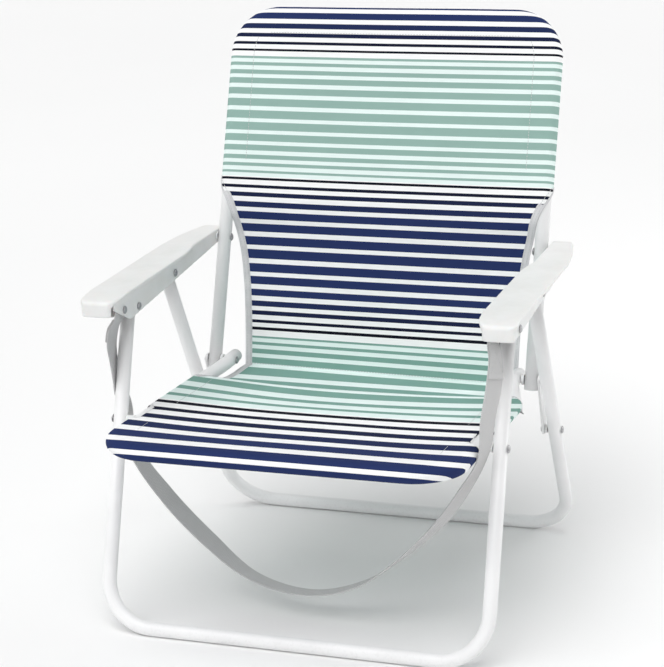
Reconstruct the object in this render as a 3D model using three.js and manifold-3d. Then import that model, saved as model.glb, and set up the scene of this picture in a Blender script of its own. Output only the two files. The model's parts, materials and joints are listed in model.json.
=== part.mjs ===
// Folding beach chair: bent steel tube frame, moulded plastic arms, one-piece fabric sling, carry strap.
//
// Millimetres. +Z is up, +X is the sitter's left, and the chair faces -Y. The origin is on the floor,
// under the middle of the chair. Every depth below is measured from the front floor bar's centre line,
// and the whole chair is moved back by DEPTH_MIDDLE at the end of the file.
//
// The fold, seen from the side: the front legs turn on the seat at SEAT_ON_LEG, the back turns on the
// seat at SEAT_HINGE, the arms turn on the back at ARM_ON_BACK, the rear legs turn in the arms at
// LEG_IN_ARM, and a short link turns on the seat at SEAT_HINGE.
import * as THREE from "three";
import { mergeVertices } from "three/addons/utils/BufferGeometryUtils.js";
import Module from "manifold-3d";

const wasm = await Module();
wasm.setup();

// ---------------------------------------------------------------- driving dimensions

const TUBE_RADIUS = 9.5; // 3/4 inch tube
const TUBE_SIDES = 16;
const TUBE_SHRINK = Math.cos(Math.PI / TUBE_SIDES); // a flat lies this much nearer the axis than a corner
const BEND_STEPS = 7;
const GAP = 0.3; // running gap between pieces that touch

// Half widths, from the middle plane to a tube's centre line.
const LEG_HALF_WIDTH = 261;
const RAIL_HALF_WIDTH = 230.5;
const RAIL_END_HALF_WIDTH = 211;
const BACK_HALF_WIDTH = 234.2;

const LEG_BEND = 64;
const SEAT_BEND = 60;
const BACK_BEND = 60;

const FLOOR_BAR_HEIGHT = TUBE_RADIUS * TUBE_SHRINK; // a flat of the bar rests on the floor

// Pivots and bars in the side view: [depth, height].
const FRONT_BAR = [0, FLOOR_BAR_HEIGHT];
const REAR_BAR = [479.9, FLOOR_BAR_HEIGHT];
const SEAT_ON_LEG = [88.7, 268.5];
const LEG_TOP_IN_ARM = [137.9, 412];
const LEG_IN_ARM = [264.7, 423];
const SEAT_HINGE = [363, 268];
const ARM_ON_BACK = [425.1, 434];
const STRAP_IN_ARM = [92, 420];
const LINK_ON_LEG = [385.7, 190.6];

const SEAT_FRONT_DEPTH = -45;
const SEAT_SLOPE = -0.0553; // height lost per millimetre towards the back
const BACK_TOP_HEIGHT = 739;
const BACK_LEAN = (ARM_ON_BACK[0] - SEAT_HINGE[0]) / (ARM_ON_BACK[1] - SEAT_HINGE[1]); // depth per height

const RIVET_RADIUS = 3;
const RIVET_HOLE_RADIUS = RIVET_RADIUS + GAP;
const RIVET_HEAD_RADIUS = 5.5;
const RIVET_HEAD_HEIGHT = 2.5;
const PLUG_HEIGHT = 2.2;

const FABRIC_THICKNESS = 3;
const WAIST_HALF_WIDTH = 199; // of the fabric where the seat meets the back

// The arm, a channel open below and behind: flange faces and the top plate's edges, from the middle plane.
const ARM_WALL = 3;
const ARM_INNER_FLANGE = 246;
const ARM_OUTER_FLANGE = 275.5;
const ARM_INNER_EDGE = 239;
const ARM_OUTER_EDGE = 293;
const ARM_TOP = 445;
const ARM_PLATE = 5;
const ARM_FRONT = 52;
const ARM_REAR = 449;
const ARM_LIP_BOTTOM = 419; // the front lip's lower edge
const ARM_LIP_WALL = 4;
const ARM_NOSE_RUN = 43; // the top plate curves down over this much of its front
const ARM_INNER_TAPER = [290, 335]; // depths between which the inner edge draws in to the channel
const ARM_OUTER_TAPER_START = 330;
const ARM_FRONT_CORNER = 12;
const ARM_ACCESS_HOLE_RADIUS = 5;

// The flanges' lower edge, seen from the side: [depth, height] where it turns.
const FLANGE_NOSE = [61, 427];
const FLANGE_DEEPEST = [110, 400.8];
const FLANGE_REAR = [428, 424.5];
const FLANGE_TURN = 7; // half the length of the curve at its deepest point

const LINK_THICKNESS = 3;
const LINK_END_RADIUS = 8;

const STRAP_WIDTH = 36;
const STRAP_THICKNESS = 2;

const backDepth = (height) => SEAT_HINGE[0] + BACK_LEAN * (height - SEAT_HINGE[1]);
const railHeight = (depth) => SEAT_ON_LEG[1] + SEAT_SLOPE * (depth - SEAT_ON_LEG[0]);

const backReach = TUBE_RADIUS * TUBE_SHRINK;
const DEPTH_MIDDLE = (backDepth(BACK_TOP_HEIGHT) + backReach + SEAT_FRONT_DEPTH - backReach) / 2;

// ---------------------------------------------------------------- materials

const finish = (color, roughness, metalness) =>
  new THREE.MeshStandardMaterial({ color, roughness, metalness });
const WHITE_PAINT = finish(0xf1f2f2, 0.35, 0.1);
const WHITE_PLASTIC = finish(0xf6f6f5, 0.5, 0);
const RIVET_STEEL = finish(0xb9bbbd, 0.35, 0.9);
const STRIPED_FABRIC = finish(0x2f3f74, 0.85, 0);
const GREY_WEBBING = finish(0x8c8c8e, 0.8, 0);

// ---------------------------------------------------------------- solids

const chair = new THREE.Group();

// A named mesh of the chair. The right-hand one of a pair is the left-hand one mirrored.
function addPiece(name, geometry, material, mirrored = false) {
  const mesh = new THREE.Mesh(geometry, material);
  mesh.name = name;
  if (mirrored) mesh.scale.x = -1;
  chair.add(mesh);
}

function addPair(name, geometry, material) {
  addPiece(`${name}_left`, geometry, material);
  addPiece(`${name}_right`, geometry, material, true);
}

function toSolid(geometry) {
  const bare = geometry.clone();
  bare.deleteAttribute("normal");
  bare.deleteAttribute("uv");
  const merged = mergeVertices(bare, 1e-4);
  const vertProperties = new Float32Array(merged.attributes.position.array);
  const triVerts = new Uint32Array(merged.index.array);
  return new wasm.Manifold(new wasm.Mesh({ numProp: 3, vertProperties, triVerts }));
}

function toGeometry(solid) {
  const mesh = solid.getMesh();
  const geometry = new THREE.BufferGeometry();
  geometry.setAttribute("position", new THREE.BufferAttribute(mesh.vertProperties, 3));
  geometry.setIndex(new THREE.BufferAttribute(mesh.triVerts, 1));
  geometry.computeVertexNormals();
  return geometry;
}

// Straight runs joined by bends of one radius, as stations that hold a point and the direction of travel.
function bentPath(corners, bendRadius) {
  const direction = (from, to) => to.clone().sub(from).normalize();
  const last = corners.length - 1;
  const stations = [{ at: corners[0], along: direction(corners[0], corners[1]) }];
  for (let i = 1; i < last; i++) {
    const inward = direction(corners[i - 1], corners[i]);
    const outward = direction(corners[i], corners[i + 1]);
    const turn = inward.angleTo(outward);
    const towardsCentre = outward.clone().addScaledVector(inward, -Math.cos(turn)).normalize();
    const start = corners[i].clone().addScaledVector(inward, -bendRadius * Math.tan(turn / 2));
    const steps = Math.max(2, Math.round((BEND_STEPS * turn) / (Math.PI / 2)));
    for (let k = 0; k <= steps; k++) {
      const angle = (turn * k) / steps;
      const at = start
        .clone()
        .addScaledVector(inward, bendRadius * Math.sin(angle))
        .addScaledVector(towardsCentre, bendRadius * (1 - Math.cos(angle)));
      const along = inward.clone().multiplyScalar(Math.cos(angle));
      along.addScaledVector(towardsCentre, Math.sin(angle));
      stations.push({ at, along });
    }
  }
  stations.push({ at: corners[last], along: direction(corners[last - 1], corners[last]) });
  return stations;
}

// A straight bar with a ring of vertices for each station, bent so that each ring stands square on its
// station. `across` is never parallel to the path. One flat faces `flatTowards` half way along.
function bentTube(stations, radius, across, flatTowards) {
  const segments = stations.length - 1;
  const frames = stations.map(({ at, along }) => {
    const side = along.clone().cross(across).normalize();
    return { at, side, up: along.clone().cross(side) };
  });
  const middle = frames[Math.round(segments / 2)];
  const flatAngle = Math.atan2(flatTowards.dot(middle.side), flatTowards.dot(middle.up));
  const firstCorner = flatAngle + Math.PI / TUBE_SIDES;
  const tube = new THREE.CylinderGeometry(
    radius, radius, segments, TUBE_SIDES, segments, false, firstCorner,
  );
  const place = tube.attributes.position;
  const point = new THREE.Vector3();
  for (let i = 0; i < place.count; i++) {
    const frame = frames[Math.round(segments / 2 - place.getY(i))];
    point.copy(frame.at);
    point.addScaledVector(frame.side, place.getX(i));
    point.addScaledVector(frame.up, place.getZ(i));
    place.setXYZ(i, point.x, point.y, point.z);
  }
  return tube;
}

// A cross-hole through the tubes at a pivot, from one side of the chair to the other.
function drillPivot(solid, [depth, height]) {
  const drill = new THREE.CylinderGeometry(RIVET_HOLE_RADIUS, RIVET_HOLE_RADIUS, 2 * ARM_OUTER_EDGE, 12);
  drill.rotateZ(Math.PI / 2);
  drill.translate(0, depth, height);
  return solid.subtract(toSolid(drill));
}

// A turned piece on a pivot's axis: its profile is [radius, distance from the middle plane] pairs.
function turned(profile, [depth, height], segments = 12) {
  const points = profile.map(([radius, x]) => new THREE.Vector2(radius, x));
  const lathe = new THREE.LatheGeometry(points, segments);
  lathe.rotateZ(-Math.PI / 2);
  lathe.translate(0, depth, height);
  return lathe;
}

// A rivet through the faces at `inner` and `outer`, with a domed head on the ends that have one.
function rivet(inner, outer, pivot, { innerHead = true, outerHead = true } = {}) {
  const dome = (face, sign) => [
    [RIVET_HEAD_RADIUS, face + sign * GAP],
    [RIVET_HEAD_RADIUS, face + sign * (GAP + 0.3 * RIVET_HEAD_HEIGHT)],
    [0.7 * RIVET_HEAD_RADIUS, face + sign * (GAP + 0.8 * RIVET_HEAD_HEIGHT)],
    [0, face + sign * (GAP + RIVET_HEAD_HEIGHT)],
  ];
  const start = innerHead ? [...dome(inner, -1).reverse(), [RIVET_RADIUS, inner - GAP]]
    : [[0, inner + GAP], [RIVET_RADIUS, inner + GAP]];
  const end = outerHead ? [[RIVET_RADIUS, outer + GAP], ...dome(outer, 1)]
    : [[RIVET_RADIUS, outer - GAP], [0, outer - GAP]];
  return turned([...start, ...end], pivot);
}

// A ring round a pivot's rivet that fills the space between two faces.
function ring(inner, outer, ringRadius, pivot) {
  const low = inner + GAP;
  const high = outer - GAP;
  const profile = [
    [RIVET_HOLE_RADIUS, low],
    [ringRadius, low],
    [ringRadius, high],
    [RIVET_HOLE_RADIUS, high],
    [RIVET_HOLE_RADIUS, low],
  ];
  return turned(profile, pivot);
}

// A domed plug that closes a tube's end.
function endPlug({ at, along }, outwards) {
  const profile = [
    [0, GAP],
    [TUBE_RADIUS, GAP],
    [TUBE_RADIUS, GAP + 0.4 * PLUG_HEIGHT],
    [0.75 * TUBE_RADIUS, GAP + 0.8 * PLUG_HEIGHT],
    [0, GAP + PLUG_HEIGHT],
  ];
  const plug = new THREE.LatheGeometry(profile.map(([radius, y]) => new THREE.Vector2(radius, y)), TUBE_SIDES);
  const axis = along.clone().multiplyScalar(outwards);
  plug.applyQuaternion(new THREE.Quaternion().setFromUnitVectors(new THREE.Vector3(0, 1, 0), axis));
  plug.translate(at.x, at.y, at.z);
  return plug;
}

// A flat outline in the side view, [depth, height], given a thickness from `inner` to `outer` across the chair.
function sidePlate(outline, inner, outer) {
  const plate = new THREE.ExtrudeGeometry(outline, {
    depth: outer - inner,
    bevelEnabled: false,
    curveSegments: 8,
  });
  const depthAxis = new THREE.Vector3(0, 1, 0);
  const heightAxis = new THREE.Vector3(0, 0, 1);
  const acrossAxis = new THREE.Vector3(1, 0, 0);
  plate.applyMatrix4(new THREE.Matrix4().makeBasis(depthAxis, heightAxis, acrossAxis));
  plate.translate(inner, 0, 0);
  return plate;
}

// A sheet between its stations: each gives the sheet's middle line and its half width there.
function sheet(stations, thickness) {
  const segments = stations.length - 1;
  const slab = new THREE.BoxGeometry(2, segments, thickness, 1, segments, 1);
  const place = slab.attributes.position;
  for (let i = 0; i < place.count; i++) {
    const index = Math.round(place.getY(i) + segments / 2);
    const { depth, height, half } = stations[index];
    const before = stations[Math.max(index - 1, 0)];
    const after = stations[Math.min(index + 1, segments)];
    const run = new THREE.Vector2(after.depth - before.depth, after.height - before.height).normalize();
    const lift = place.getZ(i);
    place.setXYZ(i, place.getX(i) * half, depth - lift * run.y, height + lift * run.x);
  }
  return slab;
}

// Half width of a sheet that ends inside a bend, at `reach` beyond the bend's start.
function cornerHalfWidth(straightHalf, bendRadius, reach) {
  return straightHalf - bendRadius + Math.sqrt(Math.max(bendRadius ** 2 - Math.max(reach, 0) ** 2, 0));
}

// ---------------------------------------------------------------- leg frames

// A U of tube in a leaning plane: it stands on its floor bar and ends past its top pivot.
function legFrame(bar, topPivot, pastPivot) {
  const up = new THREE.Vector3(0, topPivot[0] - bar[0], topPivot[1] - bar[1]).normalize();
  const top = new THREE.Vector3(0, ...topPivot).addScaledVector(up, pastPivot);
  const corner = (side) => new THREE.Vector3(side * LEG_HALF_WIDTH, ...bar);
  const end = (side) => new THREE.Vector3(side * LEG_HALF_WIDTH, top.y, top.z);
  const stations = bentPath([end(1), corner(1), corner(-1), end(-1)], LEG_BEND);
  const planeNormal = up.clone().cross(new THREE.Vector3(1, 0, 0));
  return { stations, tube: bentTube(stations, TUBE_RADIUS, planeNormal, new THREE.Vector3(0, 0, -1)) };
}

const FRONT_LEG_PAST_PIVOT = 12;
const REAR_LEG_PAST_PIVOT = 8.5;

const frontLegs = legFrame(FRONT_BAR, LEG_TOP_IN_ARM, FRONT_LEG_PAST_PIVOT);
const frontLegSolid = drillPivot(toSolid(frontLegs.tube), SEAT_ON_LEG);
addPiece("front_leg_frame", toGeometry(frontLegSolid), WHITE_PAINT);
addPair("front_leg_plug", endPlug(frontLegs.stations[0], -1), WHITE_PLASTIC);

const rearLegs = legFrame(REAR_BAR, LEG_IN_ARM, REAR_LEG_PAST_PIVOT);
const rearLegSolid = drillPivot(drillPivot(toSolid(rearLegs.tube), LEG_IN_ARM), LINK_ON_LEG);
addPiece("rear_leg_frame", toGeometry(rearLegSolid), WHITE_PAINT);
addPair("rear_leg_plug", endPlug(rearLegs.stations[0], -1), WHITE_PLASTIC);

// ---------------------------------------------------------------- seat frame

const RAIL_STEP_START = 285; // where each rail starts to step inwards and up to its hinge
const RAIL_STEP_END = 342;
const RAIL_PAST_HINGE = 21;
const RAIL_STEP_BEND = 40;

// The gentle steps near the hinges and the front corners have their own bend radii, so the rail is made
// from the hinge end to the middle of the front bar and then mirrored.
function railStations() {
  const onRail = (depth) => new THREE.Vector3(RAIL_HALF_WIDTH, depth, railHeight(depth));
  const end = new THREE.Vector3(RAIL_END_HALF_WIDTH, SEAT_HINGE[0] + RAIL_PAST_HINGE, SEAT_HINGE[1]);
  const stepEnd = new THREE.Vector3(RAIL_END_HALF_WIDTH, RAIL_STEP_END, SEAT_HINGE[1]);
  const corner = onRail(SEAT_FRONT_DEPTH);
  const beforeCorner = onRail(SEAT_FRONT_DEPTH + SEAT_BEND + 1);
  const middle = new THREE.Vector3(0, corner.y, corner.z);
  const stepped = bentPath([end, stepEnd, onRail(RAIL_STEP_START), beforeCorner], RAIL_STEP_BEND);
  const cornered = bentPath([beforeCorner, corner, middle], SEAT_BEND);
  const half = [...stepped.slice(0, -1), ...cornered.slice(1, -1)];
  const mirror = ({ at, along }) => ({
    at: new THREE.Vector3(-at.x, at.y, at.z),
    along: new THREE.Vector3(along.x, -along.y, -along.z),
  });
  return [...half, ...half.map(mirror).reverse()];
}

const seatStations = railStations();
const seatTube = bentTube(seatStations, TUBE_RADIUS, new THREE.Vector3(0, 0, 1), new THREE.Vector3(0, 0, 1));
const seatSolid = drillPivot(drillPivot(toSolid(seatTube), SEAT_ON_LEG), SEAT_HINGE);
addPiece("seat_frame", toGeometry(seatSolid), WHITE_PAINT);
addPair("seat_rail_plug", endPlug(seatStations[0], -1), WHITE_PLASTIC);

// ---------------------------------------------------------------- back frame

const BACK_PAST_HINGE = 12.5;

function backPath() {
  const up = new THREE.Vector3(0, BACK_LEAN, 1).normalize();
  const low = new THREE.Vector3(0, ...SEAT_HINGE).addScaledVector(up, -BACK_PAST_HINGE);
  const end = (side) => new THREE.Vector3(side * BACK_HALF_WIDTH, low.y, low.z);
  const corner = (side) =>
    new THREE.Vector3(side * BACK_HALF_WIDTH, backDepth(BACK_TOP_HEIGHT), BACK_TOP_HEIGHT);
  return { up, stations: bentPath([end(1), corner(1), corner(-1), end(-1)], BACK_BEND) };
}

const back = backPath();
const backNormal = back.up.clone().cross(new THREE.Vector3(1, 0, 0));
const backTube = bentTube(back.stations, TUBE_RADIUS, backNormal, new THREE.Vector3(0, 1, 0));
const backSolid = drillPivot(drillPivot(toSolid(backTube), SEAT_HINGE), ARM_ON_BACK);
addPiece("back_frame", toGeometry(backSolid), WHITE_PAINT);
addPair("back_foot_plug", endPlug(back.stations[0], -1), WHITE_PLASTIC);

// ---------------------------------------------------------------- arms

// The top plate and its front lip, seen from the side.
function armTopOutline() {
  const outline = new THREE.Shape();
  outline.moveTo(ARM_FRONT, ARM_LIP_BOTTOM);
  outline.lineTo(ARM_FRONT, ARM_TOP - 11);
  outline.quadraticCurveTo(ARM_FRONT, ARM_TOP - 4.5, ARM_FRONT + 9, ARM_TOP - 3.5);
  outline.quadraticCurveTo(ARM_FRONT + ARM_NOSE_RUN / 2, ARM_TOP - 1, ARM_FRONT + ARM_NOSE_RUN, ARM_TOP);
  outline.lineTo(ARM_REAR - 4, ARM_TOP);
  outline.quadraticCurveTo(ARM_REAR, ARM_TOP, ARM_REAR, ARM_TOP - 4);
  const under = ARM_TOP - ARM_PLATE;
  outline.lineTo(ARM_REAR, under);
  outline.lineTo(ARM_FRONT + ARM_NOSE_RUN, under);
  outline.quadraticCurveTo(ARM_FRONT + ARM_NOSE_RUN / 2, under - 1, ARM_FRONT + 9, under - 4);
  outline.lineTo(ARM_FRONT + ARM_LIP_WALL, under - 9);
  outline.lineTo(ARM_FRONT + ARM_LIP_WALL, ARM_LIP_BOTTOM);
  return outline;
}

// A flange, seen from the side: deep at the front pivot and slim at the back.
function armFlangeOutline() {
  const root = ARM_TOP - ARM_PLATE + 1; // inside the top plate
  const [deepestDepth, deepestHeight] = FLANGE_DEEPEST;
  const [rearDepth, rearHeight] = FLANGE_REAR;
  const outline = new THREE.Shape();
  outline.moveTo(FLANGE_NOSE[0] + 1, root - 7);
  outline.lineTo(...FLANGE_NOSE);
  outline.lineTo(deepestDepth - FLANGE_TURN, deepestHeight + 0.6 * FLANGE_TURN);
  outline.quadraticCurveTo(deepestDepth, deepestHeight, deepestDepth + FLANGE_TURN, deepestHeight + 0.5);
  outline.lineTo(rearDepth, rearHeight);
  outline.quadraticCurveTo(ARM_REAR - 4, rearHeight + 1.3, ARM_REAR - 1, root);
  outline.lineTo(ARM_FRONT + ARM_NOSE_RUN, root);
  return outline;
}

// The arm seen from above: a paddle that narrows to the channel where it meets the back.
function armPlan() {
  const outline = new THREE.Shape();
  const [taperStart, taperEnd] = ARM_INNER_TAPER;
  const outerTaperMiddle = (ARM_OUTER_TAPER_START + ARM_REAR) / 2;
  outline.moveTo(ARM_INNER_EDGE, taperStart);
  outline.lineTo(ARM_INNER_EDGE, ARM_FRONT + ARM_NOSE_RUN);
  outline.quadraticCurveTo(ARM_INNER_EDGE, ARM_FRONT + 4, ARM_INNER_EDGE + 14, ARM_FRONT);
  outline.lineTo(ARM_OUTER_EDGE - ARM_FRONT_CORNER, ARM_FRONT);
  outline.quadraticCurveTo(ARM_OUTER_EDGE, ARM_FRONT, ARM_OUTER_EDGE, ARM_FRONT + ARM_FRONT_CORNER);
  outline.lineTo(ARM_OUTER_EDGE, ARM_OUTER_TAPER_START);
  outline.quadraticCurveTo(ARM_OUTER_EDGE - 3, outerTaperMiddle, ARM_OUTER_FLANGE + 2, ARM_REAR - 19);
  outline.quadraticCurveTo(ARM_OUTER_FLANGE, ARM_REAR, ARM_OUTER_FLANGE - 9, ARM_REAR);
  outline.lineTo(ARM_INNER_FLANGE, ARM_REAR);
  outline.lineTo(ARM_INNER_FLANGE, taperEnd);
  outline.quadraticCurveTo(ARM_INNER_FLANGE - 4, (taperStart + 2 * taperEnd) / 3, ARM_INNER_EDGE, taperStart);
  return outline;
}

function armSolid() {
  const planDepth = 60;
  const plan = new THREE.ExtrudeGeometry(armPlan(), { depth: planDepth, bevelEnabled: false, curveSegments: 8 });
  plan.translate(0, 0, ARM_TOP - planDepth + 1);
  const planSolid = toSolid(plan);
  const paddle = toSolid(sidePlate(armTopOutline(), ARM_INNER_EDGE - 1, ARM_OUTER_EDGE + 1)).intersect(planSolid);
  const flange = (inner) => toSolid(sidePlate(armFlangeOutline(), inner, inner + ARM_WALL));
  const accessHole = new THREE.CylinderGeometry(
    ARM_ACCESS_HOLE_RADIUS, ARM_ACCESS_HOLE_RADIUS, 3 * ARM_WALL, 16,
  );
  accessHole.rotateZ(Math.PI / 2);
  accessHole.translate(ARM_OUTER_FLANGE, ...ARM_ON_BACK);
  let arm = paddle.add(flange(ARM_INNER_FLANGE)).add(flange(ARM_OUTER_FLANGE - ARM_WALL));
  for (const pivot of [LEG_TOP_IN_ARM, LEG_IN_ARM, STRAP_IN_ARM, ARM_ON_BACK]) arm = drillPivot(arm, pivot);
  return arm.subtract(toSolid(accessHole));
}

addPair("arm", toGeometry(armSolid()), WHITE_PLASTIC);

// ---------------------------------------------------------------- links

function linkOutline() {
  const [y0, z0] = SEAT_HINGE;
  const [y1, z1] = LINK_ON_LEG;
  const facing = Math.atan2(z1 - z0, y1 - y0);
  const outline = new THREE.Shape();
  outline.absarc(y0, z0, LINK_END_RADIUS, facing + Math.PI / 2, facing + 1.5 * Math.PI);
  outline.absarc(y1, z1, LINK_END_RADIUS, facing - Math.PI / 2, facing + Math.PI / 2);
  for (const [y, z] of [SEAT_HINGE, LINK_ON_LEG]) {
    const hole = new THREE.Path();
    hole.absarc(y, z, RIVET_HOLE_RADIUS, 0, 2 * Math.PI, true);
    outline.holes.push(hole);
  }
  return outline;
}

const LINK_INNER_FACE = BACK_HALF_WIDTH + TUBE_RADIUS + GAP;
const LINK_OUTER_FACE = LINK_INNER_FACE + LINK_THICKNESS;
addPair("link", sidePlate(linkOutline(), LINK_INNER_FACE, LINK_OUTER_FACE), WHITE_PAINT);

// ---------------------------------------------------------------- rivets, washers and bushes

const WASHER_RADIUS = 7.5;
const BUSH_RADIUS = 6;
const legInnerFace = LEG_HALF_WIDTH - TUBE_RADIUS;
const legOuterFace = LEG_HALF_WIDTH + TUBE_RADIUS;
const railInnerFace = RAIL_HALF_WIDTH - TUBE_RADIUS;
const railOuterFace = RAIL_HALF_WIDTH + TUBE_RADIUS;
const backInnerFace = BACK_HALF_WIDTH - TUBE_RADIUS;
const backOuterFace = BACK_HALF_WIDTH + TUBE_RADIUS;

addPair("seat_hinge_washer",
  ring(RAIL_END_HALF_WIDTH + TUBE_RADIUS, backInnerFace, WASHER_RADIUS, SEAT_HINGE), WHITE_PLASTIC);
addPair("seat_hinge_rivet",
  rivet(RAIL_END_HALF_WIDTH - TUBE_RADIUS, LINK_OUTER_FACE, SEAT_HINGE), RIVET_STEEL);

addPair("leg_pivot_bush", ring(railOuterFace, legInnerFace, BUSH_RADIUS, SEAT_ON_LEG), WHITE_PLASTIC);
addPair("leg_pivot_rivet", rivet(railInnerFace, legOuterFace, SEAT_ON_LEG), RIVET_STEEL);

addPair("arm_rear_washer", ring(backOuterFace, ARM_INNER_FLANGE, WASHER_RADIUS, ARM_ON_BACK), WHITE_PLASTIC);
addPair("arm_rear_rivet", rivet(backInnerFace, ARM_INNER_FLANGE + ARM_WALL, ARM_ON_BACK), RIVET_STEEL);

addPair("rear_leg_rivet", rivet(ARM_INNER_FLANGE, ARM_OUTER_FLANGE, LEG_IN_ARM), RIVET_STEEL);

// The front legs' top pivots are one short rivet in each flange, so that the leg can leave them as it folds.
addPair("front_leg_rivet_inner",
  rivet(ARM_INNER_FLANGE, ARM_INNER_FLANGE + ARM_WALL, LEG_TOP_IN_ARM, { outerHead: false }), RIVET_STEEL);
addPair("front_leg_rivet_outer",
  rivet(ARM_OUTER_FLANGE - ARM_WALL, ARM_OUTER_FLANGE, LEG_TOP_IN_ARM, { innerHead: false }), RIVET_STEEL);

// The links' lower pivots are open too: a headed stub and its spacer turn with the link, and a headed
// stub sits in the leg.
const STUB_TO_LEG = 0.5; // how far the link's stub stops short of the leg
addPair("link_stub_rivet",
  rivet(LINK_INNER_FACE, legInnerFace - STUB_TO_LEG, LINK_ON_LEG, { outerHead: false }), RIVET_STEEL);
addPair("link_spacer", ring(LINK_OUTER_FACE, legInnerFace - GAP, BUSH_RADIUS, LINK_ON_LEG), WHITE_PLASTIC);
addPair("link_leg_rivet", rivet(legInnerFace, legOuterFace, LINK_ON_LEG, { innerHead: false }), RIVET_STEEL);

// ---------------------------------------------------------------- fabric sling

const SLING_LIFT = 4; // the seat panel lies this far above the rails' centre lines
const FREE_EDGE_START = 272; // behind this depth the seat panel leaves the rails
const CREASE = [399, 252.5];
const NOTCH_LENGTH = 36; // of the notch in each side of the seat panel, round the leg pivot's rivet
const NOTCH_RAMP = 6;
const FABRIC_GAP = 0.7; // between a panel and a tube or rivet
const tubeClearance = TUBE_RADIUS + FABRIC_GAP;

function seatPanelStations() {
  const stations = [];
  const frontEdge = SEAT_FRONT_DEPTH + tubeClearance;
  const bendDepths = [0, 6, 14, 24, 36, SEAT_BEND - tubeClearance];
  for (const past of bendDepths) {
    const depth = frontEdge + past;
    const reach = SEAT_FRONT_DEPTH + SEAT_BEND - depth;
    const half = cornerHalfWidth(RAIL_HALF_WIDTH - tubeClearance, SEAT_BEND - tubeClearance, reach);
    stations.push({ depth, height: railHeight(depth) + SLING_LIFT, half });
  }
  const fullHalf = RAIL_HALF_WIDTH - tubeClearance;
  const notchedHalf = railInnerFace - RIVET_HEAD_HEIGHT - 2 * GAP - FABRIC_GAP;
  const notchFront = SEAT_ON_LEG[0] - NOTCH_LENGTH / 2;
  const notchRear = SEAT_ON_LEG[0] + NOTCH_LENGTH / 2;
  const alongRails = [
    [notchFront, fullHalf],
    [notchFront + NOTCH_RAMP, notchedHalf],
    [notchRear - NOTCH_RAMP, notchedHalf],
    [notchRear, fullHalf],
    [FREE_EDGE_START, fullHalf],
  ];
  for (const [depth, half] of alongRails) {
    stations.push({ depth, height: railHeight(depth) + SLING_LIFT, half });
  }
  stations.push({ depth: 300, height: 258, half: 209 });
  stations.push({ depth: 332, height: 254.5, half: WAIST_HALF_WIDTH });
  stations.push({ depth: CREASE[0], height: CREASE[1], half: WAIST_HALF_WIDTH });
  return stations;
}

// Below the sleeves the sling hangs behind the uprights and narrows to its waist.
function backPanelStations() {
  const hanging = [
    { depth: 406, height: 262, half: WAIST_HALF_WIDTH },
    { depth: 415, height: 310, half: 200 },
    { depth: 424, height: 355, half: 203 },
    { depth: 433, height: 400, half: 209 },
    { depth: 441, height: 445, half: 217 },
    { depth: 448, height: 482, half: 222 },
  ];
  const half = BACK_HALF_WIDTH - tubeClearance;
  const sleeved = [520, 600, 678].map((height) => ({ depth: backDepth(height), height, half }));
  const topEdge = BACK_TOP_HEIGHT - tubeClearance;
  const perHeight = Math.hypot(1, BACK_LEAN);
  const corner = [36, 24, 14, 6, 0].map((below) => {
    const height = topEdge - below;
    const reach = BACK_BEND - (BACK_TOP_HEIGHT - height) * perHeight;
    return { depth: backDepth(height), height, half: cornerHalfWidth(half, BACK_BEND - tubeClearance, reach) };
  });
  return [...hanging, ...sleeved, ...corner];
}

addPiece("seat_fabric", sheet(seatPanelStations(), FABRIC_THICKNESS), STRIPED_FABRIC);
addPiece("back_fabric", sheet(backPanelStations(), FABRIC_THICKNESS), STRIPED_FABRIC);

// ---------------------------------------------------------------- carry strap

// Half the distance between the strap's two ends, which hang inside the arms' inner flanges.
const STRAP_TOP_HALF_WIDTH = ARM_INNER_FLANGE + ARM_WALL + GAP + STRAP_THICKNESS;

// The strap's middle line: [x, depth, height, twist in degrees]. It runs down outside and behind the right
// leg, hangs under the seat, and comes up in front of the left leg.
const STRAP_ROUTE = [
  [-STRAP_TOP_HALF_WIDTH, 92, 427, 0],
  [-STRAP_TOP_HALF_WIDTH, 92, 418, 0],
  [-STRAP_TOP_HALF_WIDTH, 92, 409, 0],
  [-259, 95, 389, 2],
  [-274.5, 102, 353, 2],
  [-276, 115, 286, 4],
  [-259.5, 118, 215, 6],
  [-213, 115.5, 153, -4],
  [-153, 109.5, 97, -4],
  [-88, 101, 53.5, 8],
  [-9.5, 93.5, 41, 11],
  [66.5, 85, 63.5, 8],
  [130, 76.5, 111, 12],
  [182, 67.5, 164, 20],
  [221, 60, 220, 18],
  [247.5, 57, 271, 10],
  [252.5, 61.5, 317, 17],
  [257.5, 74, 356, 19],
  [256.5, 84.5, 390, 8],
  [STRAP_TOP_HALF_WIDTH, 92, 409, 0],
  [STRAP_TOP_HALF_WIDTH, 92, 418, 0],
  [STRAP_TOP_HALF_WIDTH, 92, 427, 0],
];

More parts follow.
